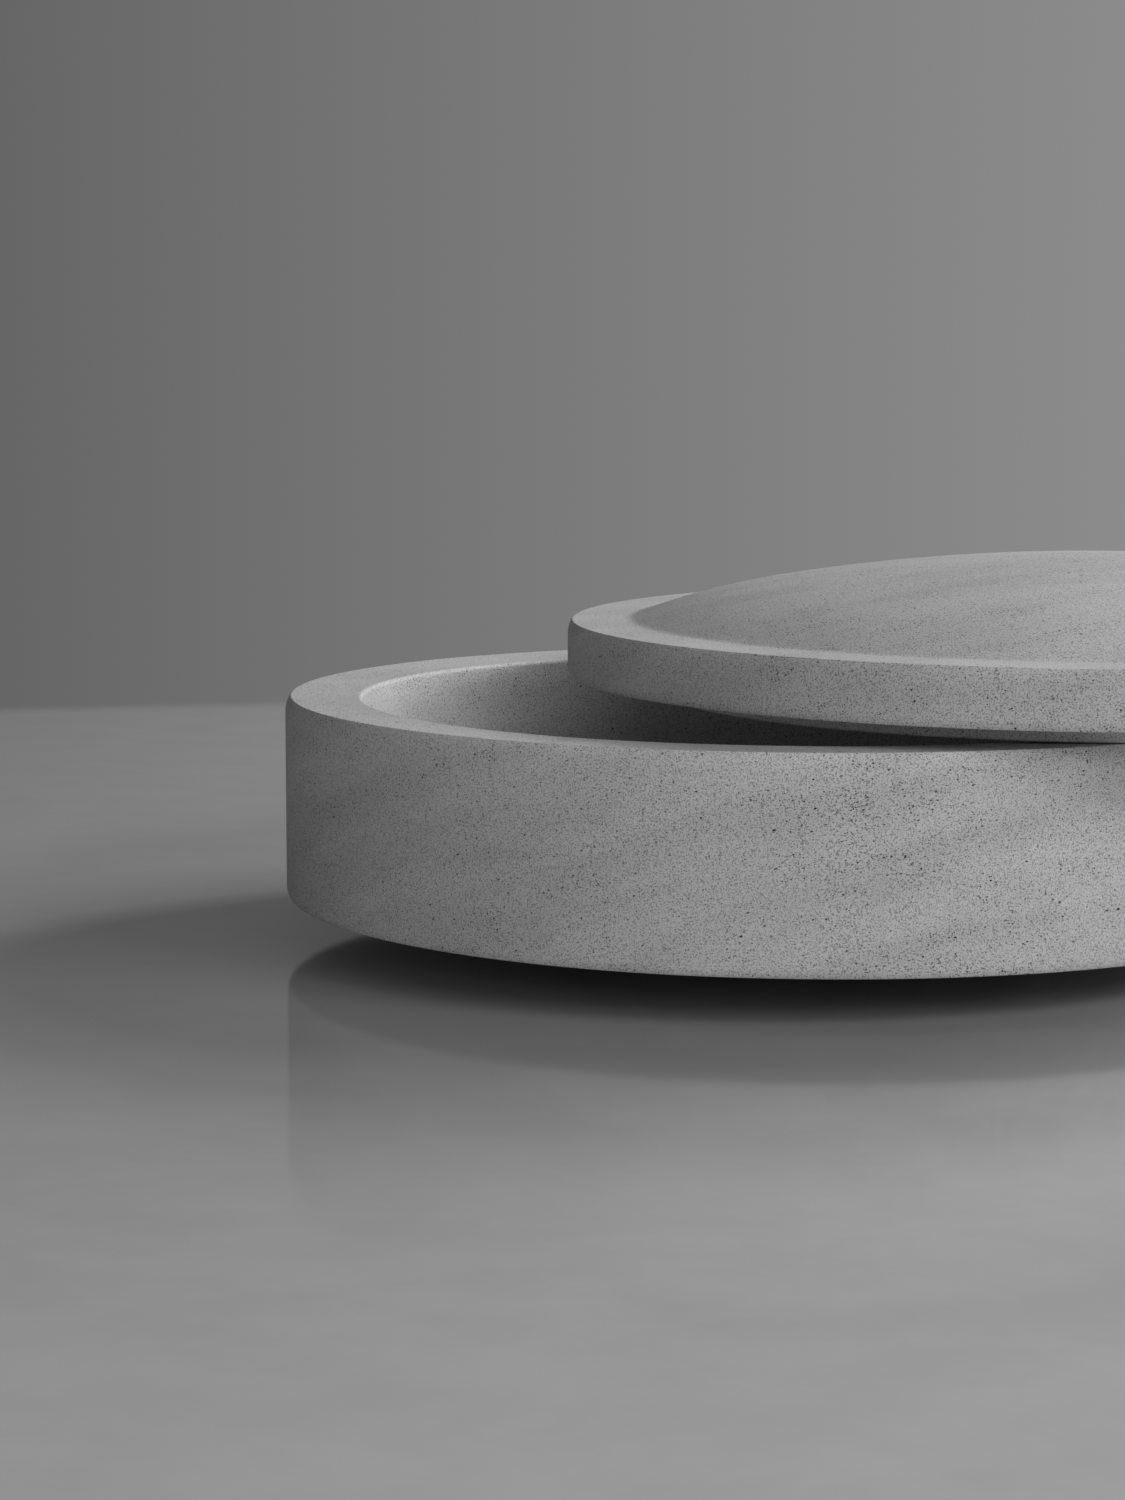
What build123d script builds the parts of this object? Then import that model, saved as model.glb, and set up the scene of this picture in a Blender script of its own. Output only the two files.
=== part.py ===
from build123d import *
import math
import os

# Round lidded stone box: a thick-walled bowl on a recessed foot, and a domed lid that lies
# slid aside on the bowl's rim. Millimetres, +Z up, table at Z zero, bowl axis on the Z axis.

# Bowl, turned from one block
bowl_diameter = 300.0
bowl_height = 56.8
bowl_wall = 22.0
bowl_floor = 12.8
bowl_floor_cove = 10.0
bowl_ease_radius = 7.0
bowl_ease_inset = 1.5
bowl_under_ease_radius = 5.0
bowl_under_ease_inset = 0.7
rim_fall = 0.7
rim_inner_round = 1.3

# Foot, a dark stone disc let into the bowl's underside
foot_set_back = 80.0
foot_rebate = 2.0
foot_clearance = 0.4
foot_edge_round = 1.5
underside_gap = 13.2

# Felt under the foot
felt_thickness = 2.0
felt_set_back = 4.0

# Lid, turned from one block
lid_overhang = 3.0
flange_thickness = 15.55
lid_border = 18.0
lid_ease_radius = 7.0
lid_ease_inset = 1.2
lid_under_ease_radius = 5.0
lid_under_ease_inset = 0.7
dome_height = 18.4
dome_cove = 8.0
lid_wall = 18.0

# Spigot ring under the lid, which drops into the bowl's mouth
spigot_height = 5.75
spigot_wall = 16.0
spigot_clearance = 2.5
spigot_round = 1.0
spigot_root_cove = 0.8
hollow_cove = 8.0

# The dome's slope at its edge, as a share of a plain spherical cap's slope there, and the
# radius of its shoulder, as a share of the radius of the dome's edge
dome_rise_share = 1.32
dome_shoulder_share = 1.5556

# Softening of the sharp line where an eased side meets a flat face
arris_round = 0.4

# Where the lid lies: slid towards +X and a little towards -Y, standing on its spigot
lid_slide_x = 84.0
lid_slide_y = -5.6
lid_seat_clearance = 0.1

# Radii and heights that follow from the sizes above
bowl_radius = bowl_diameter / 2
bore_radius = bowl_radius - bowl_wall
underside_height = underside_gap
floor_height = underside_height + bowl_floor
rim_height = underside_height + bowl_height
rim_inner_height = rim_height - rim_fall
foot_radius = bowl_radius - foot_set_back
rebate_radius = foot_radius + foot_clearance
rebate_height = underside_height + foot_rebate
felt_radius = foot_radius - felt_set_back
lid_radius = bowl_radius + lid_overhang
spigot_radius = bore_radius - spigot_clearance
hollow_radius = spigot_radius - spigot_wall
flange_top = spigot_height + flange_thickness
lid_apex = flange_top + dome_height

# The dome is a wide crown arc that runs tangent into a tighter shoulder arc. The shoulder
# comes down on the flange at the dome's edge, at the rise angle.
dome_radius = lid_radius - lid_border
dome_shoulder_radius = dome_shoulder_share * dome_radius
cap_angle = 2 * math.atan2(dome_height, dome_radius)
rise_angle = dome_rise_share * cap_angle
shoulder_run = dome_radius - dome_shoulder_radius * math.sin(rise_angle)
shoulder_rise = dome_height + dome_shoulder_radius * math.cos(rise_angle)
crown_radius = (shoulder_run**2 + shoulder_rise**2 - dome_shoulder_radius**2) / (
    2 * (shoulder_rise - dome_shoulder_radius)
)
crown_angle = math.asin(shoulder_run / (crown_radius - dome_shoulder_radius))

# The hollow under the lid is concentric with the crown
dish_radius = crown_radius - lid_wall
dish_top = lid_apex - lid_wall
dish_angle = math.asin(hollow_radius / dish_radius)

lid_seat = (lid_slide_x, lid_slide_y, rim_height + lid_seat_clearance)
lid_plane = Plane(lid_seat, x_dir=Axis.X.direction, z_dir=-Axis.Y.direction)
lid_axis = Axis(lid_seat, Axis.Z.direction)


def eased_edge(side_radius, face_height, ease_radius, inset, way):
    """Draw the arc that eases a side into a flat face: tangent to the side, inset at the face.

    The way is +1 for a top face and -1 for an underside.
    """
    turn = math.acos(1 - inset / ease_radius)
    start_height = face_height - way * ease_radius * math.sin(turn)
    return JernArc((side_radius, start_height), (0, way), ease_radius, way * math.degrees(turn))


def round_corner(section, corner, radius):
    """Round the corner of a section that lies nearest to the given point."""
    nearest = section.vertices().sort_by_distance(corner)[0]
    fillet(nearest, radius)


# Bowl: side, eased rim that falls inwards, bore, floor and rebate for the foot
with BuildPart() as bowl:
    with BuildSketch(Plane.XZ) as bowl_section:
        with BuildLine():
            bowl_ease = eased_edge(bowl_radius, rim_height, bowl_ease_radius, bowl_ease_inset, +1)
            bowl_under_ease = eased_edge(
                bowl_radius, underside_height, bowl_under_ease_radius, bowl_under_ease_inset, -1
            )
            Polyline(
                bowl_ease @ 1,
                (bore_radius, rim_inner_height),
                (bore_radius, floor_height),
                (0, floor_height),
                (0, rebate_height),
                (rebate_radius, rebate_height),
                (rebate_radius, underside_height),
                bowl_under_ease @ 1,
            )
            Line(bowl_under_ease @ 0, bowl_ease @ 0)
        make_face()
        round_corner(bowl_section, bowl_ease @ 1, arris_round)
        round_corner(bowl_section, (bore_radius, rim_inner_height), rim_inner_round)
        round_corner(bowl_section, (bore_radius, floor_height), bowl_floor_cove)
        round_corner(bowl_section, bowl_under_ease @ 1, arris_round)
    revolve(axis=Axis.Z)

# Foot: a disc from the felt up into the rebate, with its lower edge rounded
with BuildPart() as foot:
    with BuildSketch(Plane.XY.offset(felt_thickness)):
        Circle(foot_radius)
    extrude(amount=rebate_height - felt_thickness)
    fillet(foot.faces().sort_by(Axis.Z)[0].edges(), foot_edge_round)

# Felt: a disc glued under the foot, on the table
with BuildPart() as base_felt:
    with BuildSketch(Plane.XY):
        Circle(felt_radius)
    extrude(amount=felt_thickness)

# Lid: spigot ring, flange with an eased top edge, domed crown, hollow underside
with BuildPart() as lid:
    with BuildSketch(lid_plane) as lid_section:
        with BuildLine():
            lid_ease = eased_edge(lid_radius, flange_top, lid_ease_radius, lid_ease_inset, +1)
            lid_under_ease = eased_edge(
                lid_radius, spigot_height, lid_under_ease_radius, lid_under_ease_inset, -1
            )
            crown = JernArc((0, lid_apex), (1, 0), crown_radius, -math.degrees(crown_angle))
            shoulder = JernArc(
                crown @ 1,
                crown % 1,
                dome_shoulder_radius,
                math.degrees(crown_angle - rise_angle),
            )
            dish = JernArc((0, dish_top), (1, 0), dish_radius, -math.degrees(dish_angle))
            Polyline(shoulder @ 1, lid_ease @ 1)
            Line(lid_ease @ 0, lid_under_ease @ 0)
            Polyline(
                lid_under_ease @ 1,
                (spigot_radius, spigot_height),
                (spigot_radius, 0),
                (hollow_radius, 0),
                dish @ 1,
            )
            Line(dish @ 0, crown @ 0)
        make_face()
        round_corner(lid_section, shoulder @ 1, dome_cove)
        round_corner(lid_section, lid_ease @ 1, arris_round)
        round_corner(lid_section, lid_under_ease @ 1, arris_round)
        round_corner(lid_section, (spigot_radius, spigot_height), spigot_root_cove)
        round_corner(lid_section, (spigot_radius, 0), spigot_round)
        round_corner(lid_section, (hollow_radius, 0), spigot_round)
        round_corner(lid_section, dish @ 1, hollow_cove)
    revolve(axis=lid_axis)

os.makedirs("parts", exist_ok=True)
for piece, name in ((bowl, "bowl"), (foot, "foot"), (base_felt, "base_felt"), (lid, "lid")):
    piece.part.label = name
    export_step(piece.part, f"parts/{name}.step")
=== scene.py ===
"""Looks of a round lidded stone box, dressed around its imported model.

A thick-walled bowl stands on a recessed foot with felt under it, and a domed lid lies slid aside on
the bowl's rim. Sizes are in metres, with +Z up, the table at zero and the bowl's axis on Z. Each piece
is drawn as half a section and turned about its axis, as on a lathe, and dressed with a finish.
"""

from __future__ import annotations

import logging
import math
from dataclasses import dataclass
from enum import Enum

import bpy
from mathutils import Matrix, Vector

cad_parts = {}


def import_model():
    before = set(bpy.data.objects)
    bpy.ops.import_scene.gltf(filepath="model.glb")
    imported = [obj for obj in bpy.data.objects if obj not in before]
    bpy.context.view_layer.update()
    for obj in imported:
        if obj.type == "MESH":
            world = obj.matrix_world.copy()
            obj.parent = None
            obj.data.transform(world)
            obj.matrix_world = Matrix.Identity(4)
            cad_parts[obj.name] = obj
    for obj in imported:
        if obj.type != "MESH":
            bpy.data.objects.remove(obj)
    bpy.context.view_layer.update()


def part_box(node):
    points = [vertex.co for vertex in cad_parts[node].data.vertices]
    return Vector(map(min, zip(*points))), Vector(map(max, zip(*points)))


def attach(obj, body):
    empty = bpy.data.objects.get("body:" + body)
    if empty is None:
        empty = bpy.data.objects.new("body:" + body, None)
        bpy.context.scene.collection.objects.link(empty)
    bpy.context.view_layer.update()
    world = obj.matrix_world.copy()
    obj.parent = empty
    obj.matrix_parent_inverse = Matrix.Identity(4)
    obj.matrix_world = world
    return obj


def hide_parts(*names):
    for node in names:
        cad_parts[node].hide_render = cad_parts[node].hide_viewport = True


LOG = logging.getLogger("stone_box")

# How finely a section is drawn and turned
TURN_STEPS = 320
ARC_STEP_ANGLE = math.radians(9.0)
ARC_STEP_LENGTH = 0.004
ARC_STEPS_LEAST = 2
HOLD_LENGTH = 0.0004
HOLD_SHARE_MOST = 0.25
PEN_SIZE = 0.001
MERGE_DISTANCE = 1e-6

# Axes of the drawing plane and of the lathe
UP = (0.0, 0.0, 1.0)
SECTION_NORMAL = (0.0, 1.0, 0.0)

# Handled edges, with wear and a painted highlight that lightens them: the attribute that marks them, and
# how far the wear and highlight reach from an edge
EDGE_ATTRIBUTE = "edge_wear_and_highlight"
WEAR_AND_HIGHLIGHT_REACH = 0.0012

# How strongly relief shows, and how strong a noise's finer octaves are by default
BUMP_STRENGTH = 0.5
NOISE_ROUGHNESS = 0.5

# The span that masks and random numbers fill, and plain white with its alpha
WHOLE = (0.0, 1.0)
WHITE = (1.0, 1.0, 1.0, 1.0)

Point = tuple[float, float]
Colour = tuple[float, float, float]
Socket = bpy.types.NodeSocket
Piece = bpy.types.Object


class Body(Enum):
    """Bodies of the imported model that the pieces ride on."""

    BOX = "box"
    LID = "lid"


class Slot(Enum):
    """Material slots of the record."""

    LIMESTONE = "limestone"
    # The foot's dark stone slot carries painted shade for the gap under the bowl
    DARK_STONE = "dark_stone"
    FELT = "felt"


@dataclass(frozen=True)
class Envelope:
    """Axis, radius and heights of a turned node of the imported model."""

    axis: Vector
    radius: float
    low: float
    high: float

    @classmethod
    def of_node(cls, node: str) -> Envelope:
        """Read a node's envelope from its box at rest.

        Args:
            node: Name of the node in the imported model.

        Returns:
            The node's axis on the table, its radius and its lowest and highest heights.
        """
        low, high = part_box(node)
        middle = (low + high) / 2
        return cls(Vector((middle.x, middle.y, 0.0)), (high.x - low.x) / 2, low.z, high.z)


class TurnedSection:
    """Half a section drawn with a pen of one vertex, then turned about its axis.

    Points are pairs of radius and height. The outline starts and ends on the axis.
    """

    def __init__(self, name: str, axis: Vector, start: Point) -> None:
        """Put the pen down.

        Args:
            name: Name of the piece.
            axis: Point on the table that the axis passes through.
            start: Radius and height where the outline starts.
        """
        self.axis = axis
        self.pen = Vector(start)
        bpy.ops.object.select_all(action="DESELECT")
        bpy.ops.mesh.primitive_plane_add(size=PEN_SIZE, location=self._place(self.pen))
        bpy.ops.object.transform_apply()
        self.piece = bpy.context.object
        self.piece.name = name
        self.piece.data.name = name
        bpy.ops.object.mode_set(mode="EDIT")
        bpy.ops.mesh.select_all(action="SELECT")
        bpy.ops.mesh.merge(type="CENTER")

    def _place(self, point: Vector) -> Vector:
        """Return where a point of the section lies in space."""
        return Vector((self.axis.x + point.x, self.axis.y, point.y))

    def _extrude_to(self, point: Vector) -> None:
        """Extrude the pen's vertex straight to a point.

        Args:
            point: Radius and height of the point.
        """
        step = self._place(point) - self._place(self.pen)
        bpy.ops.mesh.extrude_region_move(TRANSFORM_OT_translate={"value": step})
        self.pen = point

    def line_to(self, radius: float, height: float) -> None:
        """Draw a straight run, with a point near each end that keeps its shading flat.

        Args:
            radius: Radius of the run's end.
            height: Height of the run's end.
        """
        start, end = self.pen, Vector((radius, height))
        hold = min(HOLD_LENGTH / (end - start).length, HOLD_SHARE_MOST)
        for share in (hold, 1 - hold, 1.0):
            self._extrude_to(start.lerp(end, share))

    def arc(self, centre: Point, sweep: float) -> None:
        """Spin the pen's vertex along an arc.

        Args:
            centre: Radius and height of the arc's centre.
            sweep: Angle in radians, positive anticlockwise with the axis on the left.
        """
        middle = Vector(centre)
        arm = self.pen - middle
        angle_steps = math.ceil(abs(sweep) / ARC_STEP_ANGLE)
        length_steps = math.ceil(abs(sweep) * arm.length / ARC_STEP_LENGTH)
        bpy.ops.mesh.spin(
            steps=max(ARC_STEPS_LEAST, angle_steps, length_steps),
            angle=sweep,
            center=self._place(middle),
            axis=SECTION_NORMAL,
        )
        turned = Vector(
            (
                arm.x * math.cos(sweep) - arm.y * math.sin(sweep),
                arm.x * math.sin(sweep) + arm.y * math.cos(sweep),
            )
        )
        self.pen = middle + turned

    def rounded_corner(self, corner: Point, toward: Point, radius: float) -> None:
        """Draw a run up to a corner and round the corner.

        Args:
            corner: The sharp corner's radius and height.
            toward: A point on the run that follows the corner.
            radius: Radius of the rounding.
        """
        tip = Vector(corner)
        arriving = (tip - self.pen).normalized()
        leaving = (Vector(toward) - tip).normalized()
        sweep = math.atan2(
            arriving.x * leaving.y - arriving.y * leaving.x, arriving.dot(leaving)
        )
        start = tip - arriving * radius * math.tan(abs(sweep) / 2)
        side = math.copysign(1.0, sweep)
        centre = start + Vector((-arriving.y, arriving.x)) * radius * side
        self.line_to(start.x, start.y)
        self.arc((centre.x, centre.y), sweep)

    def eased_edge(self, top: float, radius: float, inset: float, arris: float, toward: Point) -> None:
        """Ease a side into a top face: an arc that starts along the side and ends at an arris.

        Args:
            top: Height of the arris.
            radius: Radius of the easing arc.
            inset: How far the arris stands in from the side.
            arris: Radius that softens the arris.
            toward: A point on the top face.
        """
        side = self.pen.x
        turn = math.acos(1 - inset / radius)
        start = top - radius * math.sin(turn)
        self.line_to(side, start)
        self.arc((side - radius, start), turn - arris / radius)
        self.rounded_corner((side - inset, top), toward, arris)

    def eased_foot(self, side: float, bottom: float, radius: float, inset: float, arris: float) -> None:
        """Ease an underside into a side: from an arris that stands in, along an arc, up to the side.

        Args:
            side: Radius of the side.
            bottom: Height of the underside.
            radius: Radius of the easing arc.
            inset: How far the arris stands in from the side.
            arris: Radius that softens the arris.
        """
        turn = math.acos(1 - inset / radius)
        corner = Vector((side - inset, bottom))
        along = corner + Vector((math.sin(turn), math.cos(turn))) * radius
        self.rounded_corner((corner.x, corner.y), (along.x, along.y), arris)
        reach = (side - self.pen.x) / (1 - math.cos(turn))
        self.arc((side - reach, self.pen.y + reach * math.sin(turn)), turn)

    def turn(self) -> Piece:
        """Turn the finished outline about its axis.

        Returns:
            The closed, smooth shaded piece.
        """
        bpy.ops.mesh.select_all(action="SELECT")
        bpy.ops.mesh.spin(steps=TURN_STEPS, angle=math.tau, center=self.axis, axis=UP)
        bpy.ops.mesh.select_all(action="SELECT")
        bpy.ops.mesh.remove_doubles(threshold=MERGE_DISTANCE)
        bpy.ops.mesh.normals_make_consistent(inside=False)
        bpy.ops.object.mode_set(mode="OBJECT")
        bpy.ops.object.shade_smooth()
        return self.piece


class NodeBench:
    """A material's node tree, with short ways to add and join nodes."""

    def __init__(self, name: str) -> None:
        """Start a material that holds one principled shader.

        Args:
            name: Name of the material.
        """
        self.material = bpy.data.materials.new(name)
        self.material.use_nodes = True
        self.tree = self.material.node_tree
        self.shader = self.tree.nodes["Principled BSDF"]
        self.output = self.tree.nodes["Material Output"]
        self.place = self.add("ShaderNodeTexCoord").outputs["Object"]

    def add(self, kind: str, **settings: object) -> bpy.types.Node:
        """Add a node and set its properties.

        Args:
            kind: Type name of the node.
            **settings: Properties of the node and their values.

        Returns:
            The new node.
        """
        node = self.tree.nodes.new(kind)
        for name, value in settings.items():
            setattr(node, name, value)
        return node

    def feed(self, socket: Socket, value: Socket | float | tuple[float, ...]) -> None:
        """Join a socket to another one, or set its value.

        Args:
            socket: The socket that is fed.
            value: The socket that it is joined to, or its value.
        """
        if isinstance(value, bpy.types.NodeSocket):
            self.tree.links.new(value, socket)
        else:
            socket.default_value = value

    def math(self, operation: str, *values: Socket | float) -> Socket:
        """Add a math node.

        Args:
            operation: Name of the operation.
            *values: Sockets or numbers that it works on.

        Returns:
            The result's socket.
        """
        node = self.add("ShaderNodeMath", operation=operation)
        for socket, value in zip(node.inputs, values):
            self.feed(socket, value)
        return node.outputs["Value"]

    def span(
        self,
        value: Socket,
        source: tuple[Socket | float, Socket | float],
        target: tuple[float, float],
        smooth: bool = True,
    ) -> Socket:
        """Map a value from one span to another.

        Args:
            value: The value's socket.
            source: Ends of the span that it comes from.
            target: Ends of the span that it goes to.
            smooth: Whether the ends are eased.

        Returns:
            The mapped value's socket.
        """
        kind = "SMOOTHSTEP" if smooth else "LINEAR"
        node = self.add("ShaderNodeMapRange", interpolation_type=kind)
        self.feed(node.inputs["Value"], value)
        self.feed(node.inputs["From Min"], source[0])
        self.feed(node.inputs["From Max"], source[1])
        self.feed(node.inputs["To Min"], target[0])
        self.feed(node.inputs["To Max"], target[1])
        return node.outputs["Result"]

    def noise(
        self, place: Socket, size: float, detail: float, roughness: float = NOISE_ROUGHNESS
    ) -> bpy.types.Node:
        """Add a noise whose features are about the given size.

        Args:
            place: Coordinates.
            size: Size of the features in metres.
            detail: Number of finer octaves.
            roughness: Strength of the finer octaves.

        Returns:
            The noise node.
        """
        node = self.add("ShaderNodeTexNoise")
        self.feed(node.inputs["Vector"], place)
        self.feed(node.inputs["Scale"], 1 / size)
        self.feed(node.inputs["Detail"], detail)
        self.feed(node.inputs["Roughness"], roughness)
        return node

    def layered(
        self, beds: Socket, length: float, height: float, detail: float, roughness: float
    ) -> Socket:
        """Add a noise whose features lie flat along beds.

        Args:
            beds: Coordinates whose third axis stands across the beds.
            length: Length of the features along the beds, in metres.
            height: Their height across the beds, in metres.
            detail: Number of finer octaves.
            roughness: Strength of the finer octaves.

        Returns:
            The noise, around 0.5.
        """
        flat = self.add("ShaderNodeVectorMath", operation="MULTIPLY")
        self.feed(flat.inputs[0], beds)
        self.feed(flat.inputs[1], (1.0, 1.0, length / height))
        return self.noise(flat.outputs["Vector"], length, detail, roughness).outputs["Fac"]

    def cells(self, place: Socket, size: float) -> tuple[Socket, Socket, Socket]:
        """Add scattered cells of about the given size.

        Args:
            place: Coordinates.
            size: Size of a cell in metres.

        Returns:
            The distance to the nearest cell's centre, in cells, and two random numbers of that cell.
        """
        node = self.add("ShaderNodeTexVoronoi")
        self.feed(node.inputs["Vector"], place)
        self.feed(node.inputs["Scale"], 1 / size)
        parts = self.add("ShaderNodeSeparateColor")
        self.feed(parts.inputs["Color"], node.outputs["Color"])
        return node.outputs["Distance"], parts.outputs["Red"], parts.outputs["Green"]

    def scaled(self, tone: Colour, factor: Socket) -> Socket:
        """Multiply a colour by a factor.

        Args:
            tone: The colour.
            factor: The factor's socket.

        Returns:
            The multiplied colour's socket.
        """
        node = self.add("ShaderNodeVectorMath", operation="SCALE")
        self.feed(node.inputs[0], tone)
        self.feed(node.inputs["Scale"], factor)
        return node.outputs["Vector"]

    def blend(self, share: Socket, first: Colour, second: Colour) -> Socket:
        """Blend two colours.

        Args:
            share: Share of the second colour.
            first: The first colour.
            second: The second colour.

        Returns:
            The blended colour's socket.
        """
        node = self.add("ShaderNodeMix", data_type="RGBA")
        self.feed(node.inputs["Factor"], share)
        self.feed(node.inputs["A"], (*first, 1.0))
        self.feed(node.inputs["B"], (*second, 1.0))
        return node.outputs["Result"]

    def bump(self, height: Socket, depth: float) -> Socket:
        """Add relief.

        Args:
            height: The relief's socket.
            depth: Depth of the relief in metres.

        Returns:
            The normal's socket.
        """
        node = self.add("ShaderNodeBump")
        self.feed(node.inputs["Strength"], BUMP_STRENGTH)
        self.feed(node.inputs["Distance"], depth)
        self.feed(node.inputs["Height"], height)
        return node.outputs["Normal"]


@dataclass(frozen=True)
class Pores:
    """One kind of pore: its spacing and radius in metres, its shares off and in a streak, its depth."""

    spacing: float
    radius: float
    sparse: float
    dense: float
    depth: float


@dataclass(frozen=True)
class Limestone:
    """Honed pale limestone: tilted beds with dark streaks, a sandy grain, dark pores, and handled edges
    with wear and a painted highlight.
    """

    name: str = "honed_limestone"
    tone: Colour = (0.47, 0.47, 0.47)
    roughness: float = 0.82
    roughness_play: float = 0.05
    specular: float = 0.25
    bed_tilt: tuple[float, float, float] = (0.245, 0.201, 0.0)
    bed_length: float = 0.080
    bed_height: float = 0.015
    bed_detail: float = 4.0
    bed_roughness: float = 0.55
    bed_ends: tuple[float, float] = (0.32, 0.68)
    bed_contrast: float = 0.07
    wave_size: float = 0.055
    wave_height: float = 0.010
    wave_detail: float = 3.0
    streak_spacing: float = 0.024
    streak_offset: float = 0.0047
    streak_width: float = 0.0034
    streak_detail: float = 3.0
    streak_ends: tuple[float, float] = (0.42, 0.62)
    streak_contrast: float = 0.06
    streak_crowd: float = 0.45
    patch_size: float = 0.026
    patch_roughness: float = 0.6
    cluster_length: float = 0.016
    cluster_height: float = 0.006
    cluster_detail: float = 3.0
    cluster_ends: tuple[float, float] = (0.46, 0.68)
    cluster_least: float = 0.35
    grain_size: float = 0.00036
    grain_ends: tuple[float, float] = (0.60, 0.22)
    grain_light: float = 1.20
    grain_depth: float = 0.62
    pores: tuple[Pores, ...] = (
        Pores(spacing=0.00060, radius=0.00020, sparse=0.10, dense=0.60, depth=0.98),
        Pores(spacing=0.0013, radius=0.00028, sparse=0.06, dense=0.85, depth=1.0),
        Pores(spacing=0.0040, radius=0.00040, sparse=0.12, dense=0.45, depth=0.95),
    )
    pore_core: float = 0.75
    pore_shallowest: float = 0.5
    pore_stretch: float = 1.3
    pore_relief: float = 0.00014
    grain_relief: float = 0.3
    wear_and_highlight_gain: float = 0.10
    worn_polish: float = 0.15
    wear_and_highlight_detail: float = 4.0
    wear_and_highlight_ends: tuple[float, float] = (0.3, 0.6)
    wear_and_highlight_least: float = 0.35

    def material(self) -> bpy.types.Material:
        """Make the material.

        Returns:
            The stone's material.
        """
        bench = NodeBench(self.name)
        beds = self._beds(bench)
        cloud = self._clouds(bench, beds)
        streak = self._streaks(bench, beds)
        pore = self._pores(bench, self._crowding(bench, beds, cloud, streak))
        grain = self._grain(bench)
        wear_and_highlight = self._wear_and_highlight(bench)

        factors = (
            grain,
            bench.span(cloud, WHOLE, (1.0 + self.bed_contrast, 1.0 - self.bed_contrast), False),
            bench.span(streak, WHOLE, (1.0, 1.0 - self.streak_contrast), False),
            bench.math("SUBTRACT", 1.0, pore),
            # Handled edges are painted lighter: partly wear, partly a painted highlight along the edges
            bench.span(wear_and_highlight, WHOLE, (1.0, 1.0 + self.wear_and_highlight_gain), False),
        )
        shade = factors[0]
        for factor in factors[1:]:
            shade = bench.math("MULTIPLY", shade, factor)
        bench.feed(bench.shader.inputs["Base Color"], bench.scaled(self.tone, shade))

        dull = bench.span(cloud, WHOLE, (-self.roughness_play, self.roughness_play), False)
        matt = bench.math("ADD", dull, self.roughness)
        polish = bench.math("MULTIPLY", wear_and_highlight, self.worn_polish)
        bench.feed(bench.shader.inputs["Roughness"], bench.math("SUBTRACT", matt, polish))
        bench.feed(bench.shader.inputs["Specular IOR Level"], self.specular)
        relief = bench.math("SUBTRACT", bench.math("MULTIPLY", grain, self.grain_relief), pore)
        bench.feed(bench.shader.inputs["Normal"], bench.bump(relief, self.pore_relief))
        return bench.material

    def _beds(self, bench: NodeBench) -> Socket:
        """Add coordinates whose third axis stands across the wavy beds.

        Args:
            bench: The material's node tree.

        Returns:
            The coordinates.
        """
        wave = bench.noise(bench.place, self.wave_size, self.wave_detail).outputs["Color"]
        bent = bench.add("ShaderNodeVectorMath", operation="MULTIPLY_ADD")
        bench.feed(bent.inputs[0], wave)
        bench.feed(bent.inputs[1], (self.wave_height,) * 3)
        bench.feed(bent.inputs[2], bench.place)
        tilted = bench.add("ShaderNodeMapping")
        bench.feed(tilted.inputs["Vector"], bent.outputs["Vector"])
        bench.feed(tilted.inputs["Rotation"], self.bed_tilt)
        return tilted.outputs["Vector"]

    def _clouds(self, bench: NodeBench, beds: Socket) -> Socket:
        """Add broad darker bands that lie along the beds.

        Args:
            bench: The material's node tree.
            beds: Coordinates of the beds.

        Returns:
            A mask that is 1 in the darkest bands.
        """
        sizes = (self.bed_length, self.bed_height)
        cloud = bench.layered(beds, *sizes, self.bed_detail, self.bed_roughness)
        return bench.span(cloud, self.bed_ends, WHOLE)

    def _crowding(self, bench: NodeBench, beds: Socket, cloud: Socket, streak: Socket) -> Socket:
        """Add where the pores crowd: in the streaks, and in short clusters in the darker bands.

        Args:
            bench: The material's node tree.
            beds: Coordinates of the beds.
            cloud: Mask of the darker bands.
            streak: Mask of the streaks.

        Returns:
            A mask that is 1 where the pores are densest.
        """
        sizes = (self.cluster_length, self.cluster_height)
        cluster = bench.layered(beds, *sizes, self.cluster_detail, self.bed_roughness)
        cluster = bench.span(cluster, self.cluster_ends, WHOLE)
        banded = bench.span(cloud, WHOLE, (self.cluster_least, 1.0), False)
        shares = bench.math("MULTIPLY", cluster, banded)
        crowd = bench.span(cluster, WHOLE, (self.streak_crowd, 1.0), False)
        return bench.math("MAXIMUM", shares, bench.math("MULTIPLY", streak, crowd))

    def _streaks(self, bench: NodeBench, beds: Socket) -> Socket:
        """Add thin dark streaks along the beds, broken into patches.

        Args:
            bench: The material's node tree.
            beds: Coordinates of the beds.

        Returns:
            A mask that is 1 in the middle of a streak.
        """
        split = bench.add("ShaderNodeSeparateXYZ")
        bench.feed(split.inputs["Vector"], beds)
        height = bench.math("SUBTRACT", split.outputs["Z"], self.streak_offset + self.wave_height / 2)
        gap = bench.math("PINGPONG", height, self.streak_spacing / 2)
        line = bench.span(gap, (0.0, self.streak_width), (1.0, 0.0))
        patch = bench.noise(bench.place, self.patch_size, self.streak_detail, self.patch_roughness)
        broken = bench.span(patch.outputs["Fac"], self.streak_ends, WHOLE)
        return bench.math("MULTIPLY", line, broken)

    def _grain(self, bench: NodeBench) -> Socket:
        """Add the sandy grain: even pale grains with fewer dark ones among them.

        Args:
            bench: The material's node tree.

        Returns:
            A factor around 1.
        """
        sand = bench.noise(bench.place, self.grain_size, 0.0).outputs["Fac"]
        return bench.span(sand, self.grain_ends, (self.grain_light, self.grain_light - self.grain_depth))

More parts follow.
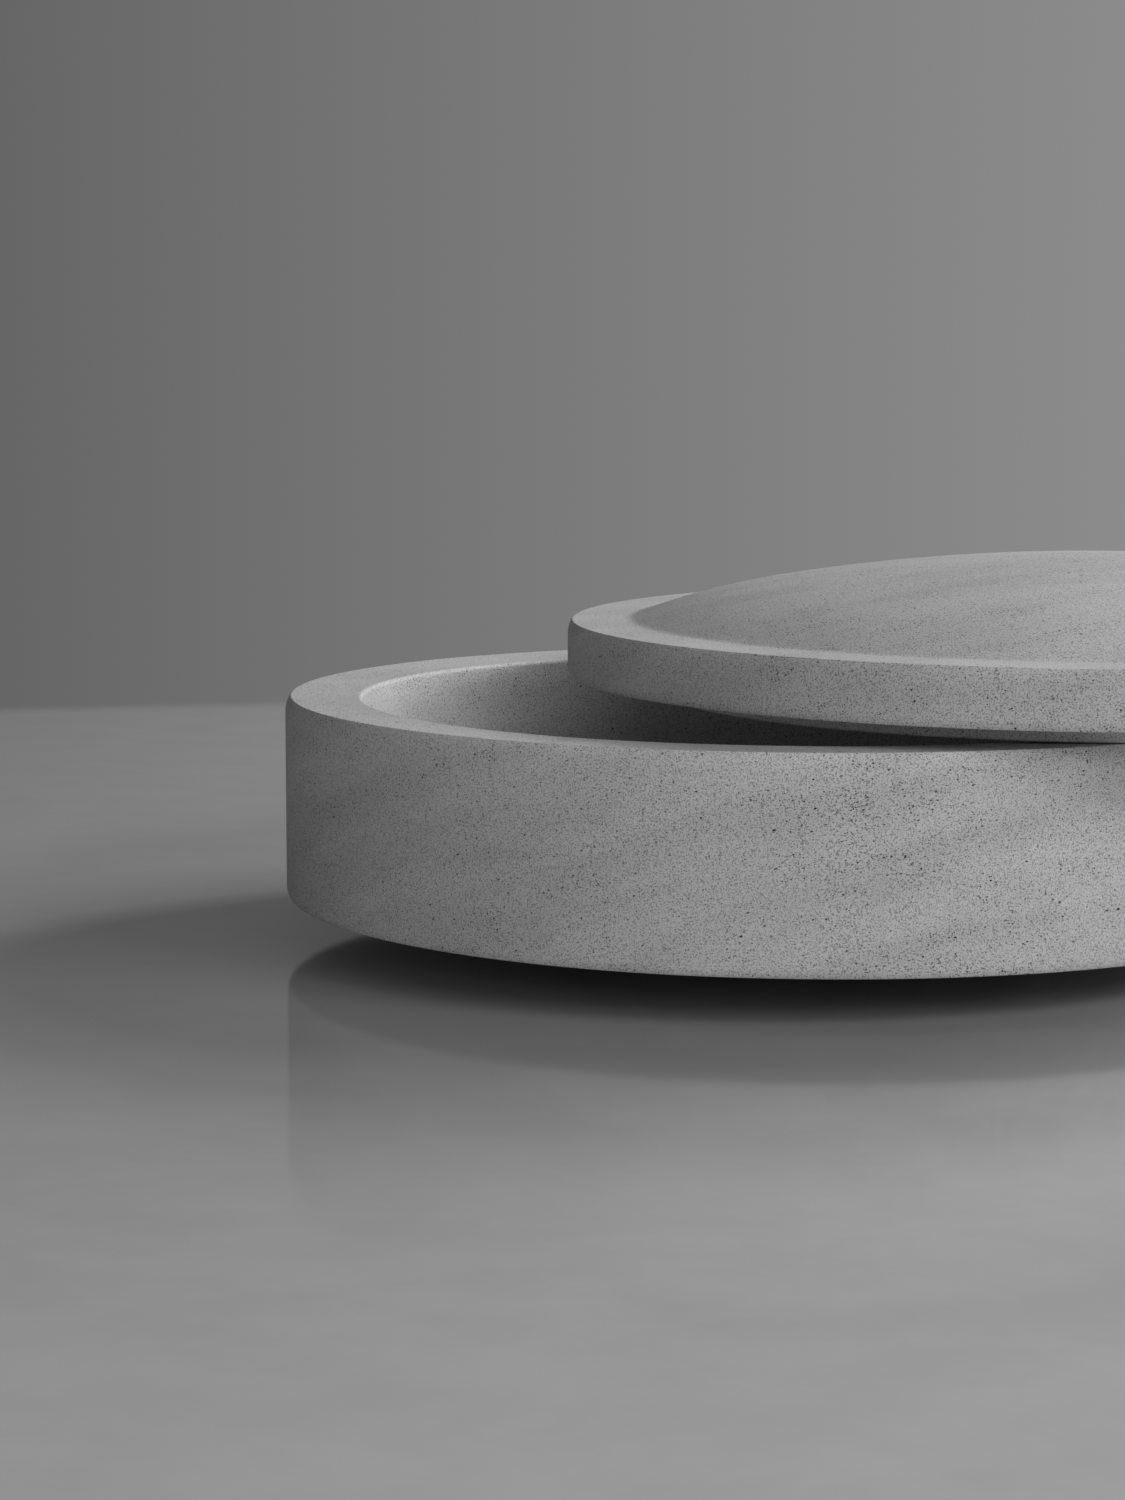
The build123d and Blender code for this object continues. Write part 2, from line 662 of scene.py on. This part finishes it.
    def _pores(self, bench: NodeBench, crowd: Socket) -> Socket:
        """Add the pores, which lie a little along the beds and are more where they crowd.

        Args:
            bench: The material's node tree.
            crowd: Where the pores crowd, from 0 to 1.

        Returns:
            A mask that is 1 in a pore.
        """
        tilted = bench.add("ShaderNodeMapping")
        bench.feed(tilted.inputs["Vector"], bench.place)
        bench.feed(tilted.inputs["Rotation"], self.bed_tilt)
        drawn = bench.add("ShaderNodeVectorMath", operation="MULTIPLY")
        bench.feed(drawn.inputs[0], tilted.outputs["Vector"])
        along, across = 1 / self.pore_stretch, math.sqrt(self.pore_stretch)
        bench.feed(drawn.inputs[1], (along, along, across))
        pitted = None
        for kind in self.pores:
            distance, chance, luck = bench.cells(drawn.outputs["Vector"], kind.spacing)
            share = bench.span(crowd, WHOLE, (kind.sparse, kind.dense), False)
            depth = bench.math("MULTIPLY", bench.math("LESS_THAN", chance, share), kind.depth)
            varied = bench.span(luck, WHOLE, (self.pore_shallowest, 1.0), False)
            depth = bench.math("MULTIPLY", depth, varied)
            reach = kind.radius / kind.spacing
            mask = bench.span(distance, (self.pore_core * reach, reach), (1.0, 0.0))
            mask = bench.math("MULTIPLY", mask, depth)
            pitted = mask if pitted is None else bench.math("MAXIMUM", pitted, mask)
        return pitted

    def _wear_and_highlight(self, bench: NodeBench) -> Socket:
        """Add patchy wear along the handled edges, with a painted highlight that lightens them.

        Args:
            bench: The material's node tree.

        Returns:
            A mask that is 1 where an edge has wear and painted highlight.
        """
        edge = bench.add("ShaderNodeAttribute", attribute_name=EDGE_ATTRIBUTE).outputs["Fac"]
        patch = bench.noise(bench.place, self.patch_size, self.wear_and_highlight_detail, self.patch_roughness)
        patchy = bench.span(patch.outputs["Fac"], self.wear_and_highlight_ends, (self.wear_and_highlight_least, 1.0))
        return bench.math("MULTIPLY", edge, patchy)


@dataclass(frozen=True)
class DarkStoneAsShade:
    """Honed stone with a fine crystal grain, painted dark as painted shade for the gap under the bowl."""

    dark: Colour = (0.025, 0.025, 0.025)
    light: Colour = (0.060, 0.060, 0.060)
    crystal_size: float = 0.0007
    crystal_least: float = 0.5
    cloud_size: float = 0.02
    cloud_detail: float = 4.0
    cloud_roughness: float = 0.6
    cloud_ends: tuple[float, float] = (0.35, 0.65)
    dull_ends: tuple[float, float] = (0.3, 0.7)
    roughness: tuple[float, float] = (0.55, 0.75)
    relief: float = 0.00005

    def material(self) -> bpy.types.Material:
        """Make the material.

        Returns:
            The dark stone's material.
        """
        bench = NodeBench("honed_dark_stone_painted_shade")
        _, chance, _ = bench.cells(bench.place, self.crystal_size)
        noise = bench.noise(bench.place, self.cloud_size, self.cloud_detail, self.cloud_roughness)
        cloud = noise.outputs["Fac"]
        paler = bench.span(cloud, self.cloud_ends, (self.crystal_least, 1.0))
        blend = bench.math("MULTIPLY", chance, paler)
        bench.feed(bench.shader.inputs["Base Color"], bench.blend(blend, self.dark, self.light))
        bench.feed(bench.shader.inputs["Roughness"], bench.span(cloud, self.dull_ends, self.roughness))
        bench.feed(bench.shader.inputs["Normal"], bench.bump(chance, self.relief))
        return bench.material


@dataclass(frozen=True)
class PressedFelt:
    """Dark pressed wool felt, with a short nap of tangled fibres."""

    dark: Colour = (0.03, 0.03, 0.031)
    light: Colour = (0.065, 0.065, 0.066)
    fibre_size: float = 0.0006
    fibre_detail: float = 6.0
    fibre_roughness: float = 0.7
    nap_ends: tuple[float, float] = (0.35, 0.65)
    roughness: float = 0.95
    sheen: float = 0.3

    def material(self) -> bpy.types.Material:
        """Make the material.

        Returns:
            The felt's material.
        """
        bench = NodeBench("pressed_felt")
        noise = bench.noise(bench.place, self.fibre_size, self.fibre_detail, self.fibre_roughness)
        tangle = noise.outputs["Fac"]
        nap = bench.span(tangle, self.nap_ends, WHOLE)
        bench.feed(bench.shader.inputs["Base Color"], bench.blend(nap, self.dark, self.light))
        bench.feed(bench.shader.inputs["Normal"], bench.bump(tangle, self.fibre_size))
        bench.feed(bench.shader.inputs["Roughness"], self.roughness)
        bench.feed(bench.shader.inputs["Sheen Weight"], self.sheen)
        return bench.material


@dataclass(frozen=True)
class PaleFloor:
    """Plain pale floor, polished at a glancing view, clear from below, with a soft end behind the box."""

    tone: Colour = (0.43, 0.43, 0.43)
    mottle_size: float = 0.03
    mottle_detail: float = 6.0
    mottle_roughness: float = 0.65
    mottle_ends: tuple[float, float] = (0.3, 0.7)
    mottle_contrast: float = 0.03
    polish_roughness: float = 0.08
    polish_ior: float = 1.45
    polish_from: float = 0.16
    polish_full: float = 0.29
    fade_slant: float = 0.206
    fade_start: float = 0.643
    fade_end: float = 0.688

    def material(self) -> bpy.types.Material:
        """Make the material.

        Returns:
            The floor's material.
        """
        bench = NodeBench("pale_floor")
        mottle = bench.noise(bench.place, self.mottle_size, self.mottle_detail, self.mottle_roughness)
        shades = (1.0 - self.mottle_contrast, 1.0 + self.mottle_contrast)
        shade = bench.span(mottle.outputs["Fac"], self.mottle_ends, shades)
        matt = bench.add("ShaderNodeBsdfDiffuse")
        bench.feed(matt.inputs["Color"], bench.scaled(self.tone, shade))
        polish = bench.add("ShaderNodeBsdfAnisotropic")
        bench.feed(polish.inputs["Color"], WHITE)
        bench.feed(polish.inputs["Roughness"], self.polish_roughness)
        glance = bench.add("ShaderNodeFresnel")
        bench.feed(glance.inputs["IOR"], self.polish_ior)
        glancing = bench.span(glance.outputs["Fac"], (self.polish_from, self.polish_full), WHOLE)
        shine = bench.math("MULTIPLY", glance.outputs["Fac"], glancing)
        polished = self._mix(bench, shine, matt.outputs["BSDF"], polish.outputs["BSDF"])

        split = bench.add("ShaderNodeSeparateXYZ")
        bench.feed(split.inputs["Vector"], bench.place)
        slant = bench.math("MULTIPLY", split.outputs["X"], self.fade_slant)
        reach = bench.math("SUBTRACT", split.outputs["Y"], slant)
        gone = bench.span(reach, (self.fade_start, self.fade_end), WHOLE)
        below = bench.add("ShaderNodeNewGeometry").outputs["Backfacing"]
        gone = bench.math("MAXIMUM", gone, below)
        clear = bench.add("ShaderNodeBsdfTransparent")
        ending = self._mix(bench, gone, polished, clear.outputs["BSDF"])
        bench.feed(bench.output.inputs["Surface"], ending)
        bench.tree.nodes.remove(bench.shader)
        return bench.material

    @staticmethod
    def _mix(bench: NodeBench, share: Socket, first: Socket, second: Socket) -> Socket:
        """Mix two shaders.

        Args:
            bench: The material's node tree.
            share: Share of the second shader.
            first: The first shader.
            second: The second shader.

        Returns:
            The mixed shader.
        """
        mix = bench.add("ShaderNodeMixShader")
        bench.feed(mix.inputs["Fac"], share)
        bench.feed(mix.inputs[1], first)
        bench.feed(mix.inputs[2], second)
        return mix.outputs["Shader"]


@dataclass
class TurnedPiece:
    """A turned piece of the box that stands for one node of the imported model."""

    node: str
    body: Body
    slot: Slot

    def dress(self, piece: Piece, material: bpy.types.Material, edges: list[Point]) -> None:
        """Give a built piece its finish, its edges with wear and painted highlight, and its place in the
        model.

        Args:
            piece: The built piece.
            material: Its finish.
            edges: Radius and height of each ring where the edge gets wear and a painted highlight.
        """
        piece.data.materials.clear()
        piece.data.materials.append(material)
        self._mark_edges(piece, edges)
        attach(piece, self.body.value)
        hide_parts(self.node)
        LOG.info("%s: %d faces, rides on %s", piece.name, len(piece.data.polygons), self.body.value)

    def _mark_edges(self, piece: Piece, edges: list[Point]) -> None:
        """Write how much wear and painted highlight each point of the mesh gets, from its distance to the
        nearest edge ring.

        Args:
            piece: The built piece.
            edges: Radius and height of each ring where the edge gets wear and a painted highlight.
        """
        axis = Envelope.of_node(self.node).axis
        wear = piece.data.attributes.new(EDGE_ATTRIBUTE, "FLOAT", "POINT")
        for vertex, value in zip(piece.data.vertices, wear.data):
            place = vertex.co - axis
            radius = math.hypot(place.x, place.y)
            gaps = [math.hypot(radius - r, place.z - z) for r, z in edges]
            value.value = max((math.exp(-gap / WEAR_AND_HIGHLIGHT_REACH) for gap in gaps), default=0.0)


@dataclass
class Bowl(TurnedPiece):
    """Thick-walled bowl with an eased rim that falls inwards and a rebate under it for the foot."""

    node: str = "bowl"
    body: Body = Body.BOX
    slot: Slot = Slot.LIMESTONE
    wall: float = 0.022
    floor: float = 0.0128
    floor_cove: float = 0.010
    ease_radius: float = 0.007
    ease_inset: float = 0.0015
    under_ease_radius: float = 0.005
    under_ease_inset: float = 0.0007
    rim_fall: float = 0.0007
    rim_inner_round: float = 0.0013
    arris_round: float = 0.0004
    rebate_depth: float = 0.002
    rebate_clearance: float = 0.0004

    def build(self, foot: Envelope) -> Piece:
        """Turn the bowl.

        Args:
            foot: Envelope of the foot that sits in the rebate.

        Returns:
            The bowl.
        """
        own = Envelope.of_node(self.node)
        bore = own.radius - self.wall
        rebate = foot.radius + self.rebate_clearance
        rebate_top = own.low + self.rebate_depth
        floor_top = own.low + self.floor
        rim_inner = own.high - self.rim_fall
        section = TurnedSection("stone_bowl", own.axis, (0.0, rebate_top))
        section.line_to(rebate, rebate_top)
        section.line_to(rebate, own.low)
        section.eased_foot(
            own.radius, own.low, self.under_ease_radius, self.under_ease_inset, self.arris_round
        )
        section.eased_edge(own.high, self.ease_radius, self.ease_inset, self.arris_round, (bore, rim_inner))
        section.rounded_corner((bore, rim_inner), (bore, floor_top), self.rim_inner_round)
        section.rounded_corner((bore, floor_top), (0.0, floor_top), self.floor_cove)
        section.line_to(0.0, floor_top)
        return section.turn()

    def wear_and_highlight_edges(self) -> list[Point]:
        """List the rings where the bowl is handled, which get wear and a painted highlight.

        Returns:
            Radius and height of both edges of the rim.
        """
        own = Envelope.of_node(self.node)
        outer = (own.radius - self.ease_inset, own.high)
        inner = (own.radius - self.wall, own.high - self.rim_fall)
        return [outer, inner]


@dataclass
class Foot(TurnedPiece):
    """Stone disc that lifts the bowl off the table, with a rounded lower edge; its dark finish is painted
    shade for the gap under the bowl.
    """

    node: str = "foot"
    body: Body = Body.BOX
    slot: Slot = Slot.DARK_STONE
    edge_round: float = 0.0015
    top_chamfer: float = 0.0003

    def build(self) -> Piece:
        """Turn the foot.

        Returns:
            The foot.
        """
        own = Envelope.of_node(self.node)
        section = TurnedSection("stone_foot", own.axis, (0.0, own.low))
        section.rounded_corner((own.radius, own.low), (own.radius, own.high), self.edge_round)
        section.rounded_corner((own.radius, own.high), (0.0, own.high), self.top_chamfer)
        section.line_to(0.0, own.high)
        return section.turn()

    def wear_and_highlight_edges(self) -> list[Point]:
        """Return the rings with wear and painted highlight: none, because the foot is out of reach."""
        return []


@dataclass
class BaseFelt(TurnedPiece):
    """Felt disc glued under the foot, with the soft edge that cut felt has."""

    node: str = "base_felt"
    body: Body = Body.BOX
    slot: Slot = Slot.FELT
    edge_round: float = 0.0008

    def build(self) -> Piece:
        """Turn the felt.

        Returns:
            The felt disc.
        """
        own = Envelope.of_node(self.node)
        section = TurnedSection("felt_disc", own.axis, (0.0, own.low))
        section.rounded_corner((own.radius, own.low), (own.radius, own.high), self.edge_round)
        section.rounded_corner((own.radius, own.high), (0.0, own.high), self.edge_round)
        section.line_to(0.0, own.high)
        return section.turn()

    def wear_and_highlight_edges(self) -> list[Point]:
        """Return the rings with wear and painted highlight: none."""
        return []


@dataclass(frozen=True)
class DomeArcs:
    """A dome's arcs: radius and slope at its edge, the shoulder's radius, the crown's radius and angle."""

    edge: float
    rise: float
    shoulder: float
    crown: float
    crown_angle: float


@dataclass
class Lid(TurnedPiece):
    """Lid with a flat border, a domed crown, a hollow underside and a spigot ring."""

    node: str = "lid"
    body: Body = Body.LID
    slot: Slot = Slot.LIMESTONE
    border: float = 0.018
    ease_radius: float = 0.007
    ease_inset: float = 0.0012
    under_ease_radius: float = 0.005
    under_ease_inset: float = 0.0007
    arris_round: float = 0.0004
    dome_height: float = 0.0184
    dome_cove: float = 0.008
    dome_rise_share: float = 1.32
    dome_shoulder_share: float = 1.5556
    wall: float = 0.018
    overhang: float = 0.003
    bore_wall: float = 0.022
    spigot_height: float = 0.00575
    spigot_wall: float = 0.016
    spigot_clearance: float = 0.0025
    spigot_round: float = 0.001
    spigot_root_cove: float = 0.0008
    hollow_cove: float = 0.008

    def build(self) -> Piece:
        """Turn the lid.

        Returns:
            The lid.
        """
        own = Envelope.of_node(self.node)
        section = TurnedSection("stone_lid", own.axis, (0.0, own.high - self.wall))
        self._draw_hollow(section, own)
        self._draw_spigot_and_flange(section, own)
        self._draw_dome(section, own)
        return section.turn()

    def wear_and_highlight_edges(self) -> list[Point]:
        """Return the ring that is handled, with wear and a painted highlight: the flange's upper edge."""
        own = Envelope.of_node(self.node)
        return [(own.radius - self.ease_inset, own.high - self.dome_height)]

    def _dome(self, own: Envelope) -> DomeArcs:
        """Work out the dome's arcs.

        Args:
            own: Envelope of the lid.

        Returns:
            The dome's arcs.
        """
        edge = own.radius - self.border
        shoulder = self.dome_shoulder_share * edge
        rise = self.dome_rise_share * 2 * math.atan2(self.dome_height, edge)
        run = edge - shoulder * math.sin(rise)
        lift = self.dome_height + shoulder * math.cos(rise)
        crown = (run**2 + lift**2 - shoulder**2) / (2 * (lift - shoulder))
        return DomeArcs(edge, rise, shoulder, crown, math.asin(run / (crown - shoulder)))

    def _spigot_radius(self, own: Envelope) -> float:
        """Return the spigot's outer radius, which clears the bowl's bore."""
        return own.radius - self.overhang - self.bore_wall - self.spigot_clearance

    def _draw_hollow(self, section: TurnedSection, own: Envelope) -> None:
        """Draw the dished hollow from the axis to the spigot's inner edge.

        Args:
            section: The lid's section.
            own: Envelope of the lid.
        """
        crown = self._dome(own).crown
        dish = crown - self.wall
        dish_centre = own.high - crown
        wall = self._spigot_radius(own) - self.spigot_wall
        reach = wall - self.hollow_cove
        drop = math.sqrt((dish - self.hollow_cove) ** 2 - reach**2)
        lean = math.atan2(reach, drop)
        section.arc((0.0, dish_centre), -lean)
        section.arc((reach, dish_centre + drop), lean - math.pi / 2)
        section.rounded_corner((wall, own.low), (self._spigot_radius(own), own.low), self.spigot_round)

    def _draw_spigot_and_flange(self, section: TurnedSection, own: Envelope) -> None:
        """Draw the spigot's outside, the flange's underside and side, and its eased upper edge.

        Args:
            section: The lid's section.
            own: Envelope of the lid.
        """
        spigot = self._spigot_radius(own)
        under = own.low + self.spigot_height
        flange_top = own.high - self.dome_height
        section.rounded_corner((spigot, own.low), (spigot, under), self.spigot_round)
        section.rounded_corner((spigot, under), (own.radius, under), self.spigot_root_cove)
        section.eased_foot(
            own.radius, under, self.under_ease_radius, self.under_ease_inset, self.arris_round
        )
        section.eased_edge(
            flange_top, self.ease_radius, self.ease_inset, self.arris_round, (0.0, flange_top)
        )

    def _draw_dome(self, section: TurnedSection, own: Envelope) -> None:
        """Draw the flat border, the cove at the dome's edge, the shoulder and the crown.

        Args:
            section: The lid's section.
            own: Envelope of the lid.
        """
        dome = self._dome(own)
        flange_top = own.high - self.dome_height
        centre = dome.edge - dome.shoulder * math.sin(dome.rise)
        centre_height = flange_top - dome.shoulder * math.cos(dome.rise)
        cove_height = flange_top + self.dome_cove
        climb = cove_height - centre_height
        cove_reach = math.sqrt((dome.shoulder + self.dome_cove) ** 2 - climb**2)
        lean = math.atan2(cove_reach, climb)
        section.line_to(centre + cove_reach, flange_top)
        section.arc((centre + cove_reach, cove_height), -lean)
        section.arc((centre, centre_height), lean - dome.crown_angle)
        section.arc((0.0, own.high - dome.crown), dome.crown_angle)


@dataclass(frozen=True)
class Lamp:
    """A soft lamp panel that looks at the box, and may show in polished surfaces."""

    name: str
    azimuth: float
    elevation: float
    width: float
    height: float
    power: float
    distance: float = 1.6
    mirrored: bool = True

    def hang(self, aim: Vector) -> Piece:
        """Hang the lamp.

        Args:
            aim: Point that the lamp looks at.

        Returns:
            The lamp.
        """
        around, up = math.radians(self.azimuth), math.radians(self.elevation)
        way = Vector((math.sin(around) * math.cos(up), -math.cos(around) * math.cos(up), math.sin(up)))
        light = bpy.data.lights.new(self.name, "AREA")
        light.shape = "RECTANGLE"
        light.size = self.width
        light.size_y = self.height
        light.energy = self.power
        lamp = bpy.data.objects.new(self.name, light)
        lamp.location = aim + way * self.distance
        lamp.rotation_euler = way.to_track_quat("Z", "Y").to_euler()
        lamp.visible_camera = False
        lamp.visible_glossy = self.mirrored
        bpy.context.scene.collection.objects.link(lamp)
        return lamp


@dataclass(frozen=True)
class Studio:
    """Floor, backdrop, lamps and camera."""

    aim: tuple[float, float, float] = (0.04, 0.0, 0.05)
    floor_size: float = 6.0
    backdrop_shaded_left: float = 0.130
    backdrop_lit_right: float = 0.262
    backdrop_reach: float = 0.16
    ambient: float = 0.08
    camera_place: tuple[float, float, float] = (-0.0705, -1.0323, 0.1759)
    camera_pitch: float = 6.79
    focal_pixels: float = 3600.0
    image_height: float = 1500.0
    sensor: float = 36.0

    def build(self, lamps: list[Lamp], floor_material: bpy.types.Material) -> None:
        """Set the studio up.

        Args:
            lamps: Lamps to hang.
            floor_material: Finish of the floor.
        """
        self._lay_floor(floor_material)
        self._hang_backdrop()
        self._place_camera()
        for lamp in lamps:
            lamp.hang(Vector(self.aim))
        bpy.context.scene.view_settings.view_transform = "Standard"

    def _lay_floor(self, material: bpy.types.Material) -> None:
        """Lay the floor at height zero.

        Args:
            material: Finish of the floor.
        """
        bpy.ops.object.select_all(action="DESELECT")
        bpy.ops.mesh.primitive_plane_add(size=self.floor_size)
        floor = bpy.context.object
        floor.name = "floor"
        floor.data.materials.append(material)

    def _hang_backdrop(self) -> None:
        """Make the world: a backdrop for the camera, darker on the left and lighter on the right as painted
        light falloff, and a faint even light for the box.
        """
        world = bpy.data.worlds.new("studio")
        bpy.context.scene.world = world
        world.use_nodes = True
        tree = world.node_tree
        tree.nodes.clear()
        output = tree.nodes.new("ShaderNodeOutputWorld")
        blend = tree.nodes.new("ShaderNodeMixShader")
        light = tree.nodes.new("ShaderNodeBackground")
        light.name = "room_light"
        light.inputs["Color"].default_value = WHITE
        light.inputs["Strength"].default_value = self.ambient
        seen = tree.nodes.new("ShaderNodeBackground")
        seen.name = "backdrop"
        place = tree.nodes.new("ShaderNodeTexCoord")
        split = tree.nodes.new("ShaderNodeSeparateXYZ")
        # The backdrop's grade from left to right is painted light falloff from the lamps on the right
        painted_falloff = tree.nodes.new("ShaderNodeMapRange")
        painted_falloff.inputs["From Min"].default_value = -self.backdrop_reach
        painted_falloff.inputs["From Max"].default_value = self.backdrop_reach
        painted_falloff.inputs["To Min"].default_value = self.backdrop_shaded_left
        painted_falloff.inputs["To Max"].default_value = self.backdrop_lit_right
        tree.links.new(place.outputs["Generated"], split.inputs["Vector"])
        tree.links.new(split.outputs["X"], painted_falloff.inputs["Value"])
        tree.links.new(painted_falloff.outputs["Result"], seen.inputs["Color"])
        path = tree.nodes.new("ShaderNodeLightPath")
        either = tree.nodes.new("ShaderNodeMath")
        either.operation = "MAXIMUM"
        tree.links.new(path.outputs["Is Camera Ray"], either.inputs[0])
        tree.links.new(path.outputs["Is Glossy Ray"], either.inputs[1])
        tree.links.new(either.outputs["Value"], blend.inputs["Fac"])
        tree.links.new(light.outputs["Background"], blend.inputs[1])
        tree.links.new(seen.outputs["Background"], blend.inputs[2])
        tree.links.new(blend.outputs["Shader"], output.inputs["Surface"])

    def _place_camera(self) -> None:
        """Place the camera at the photograph's viewing angle."""
        data = bpy.data.cameras.new("camera")
        data.sensor_width = self.sensor
        data.lens = self.focal_pixels * self.sensor / self.image_height
        camera = bpy.data.objects.new("camera", data)
        camera.location = self.camera_place
        camera.rotation_euler = (math.pi / 2 - math.radians(self.camera_pitch), 0.0, 0.0)
        bpy.context.scene.collection.objects.link(camera)
        bpy.context.scene.camera = camera


# The bowl and the lid are of the same stone; the lid's copy is a little darker, which is painted shade on
# the lid
BOWL_STONE = Limestone()
PAINTED_SHADE_LID_STONE = Limestone(name="honed_limestone_lid_painted_shade", tone=(0.452, 0.452, 0.452))

# The back lamps give the stone its sheen; the front ones stay out of the polished floor
BACK_LAMPS = [
    Lamp("key", azimuth=135.0, elevation=30.0, width=0.3, height=0.3, power=12.0),
    Lamp("right", azimuth=115.0, elevation=30.0, width=0.8, height=0.8, power=15.3),
]
FRONT_LAMPS = [
    Lamp("front_right", azimuth=50.0, elevation=28.0, width=0.8, height=0.25, power=7.8, mirrored=False),
    Lamp("front", azimuth=25.0, elevation=21.0, width=0.8, height=0.25, power=4.0, mirrored=False),
    Lamp("low_front", azimuth=0.0, elevation=14.0, width=0.8, height=0.25, power=2.3, mirrored=False),
    Lamp("table", azimuth=-25.0, elevation=3.0, width=0.8, height=0.12, power=1.75, mirrored=False),
]


def main() -> None:
    """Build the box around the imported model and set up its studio."""
    logging.basicConfig(level=logging.INFO, format="%(message)s")
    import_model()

    bowl, foot, base_felt, lid = Bowl(), Foot(), BaseFelt(), Lid()
    bowl_piece = bowl.build(Envelope.of_node(foot.node))
    bowl.dress(bowl_piece, BOWL_STONE.material(), bowl.wear_and_highlight_edges())
    foot.dress(foot.build(), DarkStoneAsShade().material(), foot.wear_and_highlight_edges())
    felt_disc = base_felt.build()
    base_felt.dress(felt_disc, PressedFelt().material(), base_felt.wear_and_highlight_edges())
    lid.dress(lid.build(), PAINTED_SHADE_LID_STONE.material(), lid.wear_and_highlight_edges())
    cut = 2 * Envelope.of_node(base_felt.node).radius

    Studio().build(BACK_LAMPS + FRONT_LAMPS, PaleFloor().material())


if __name__ == "__main__":
    main()
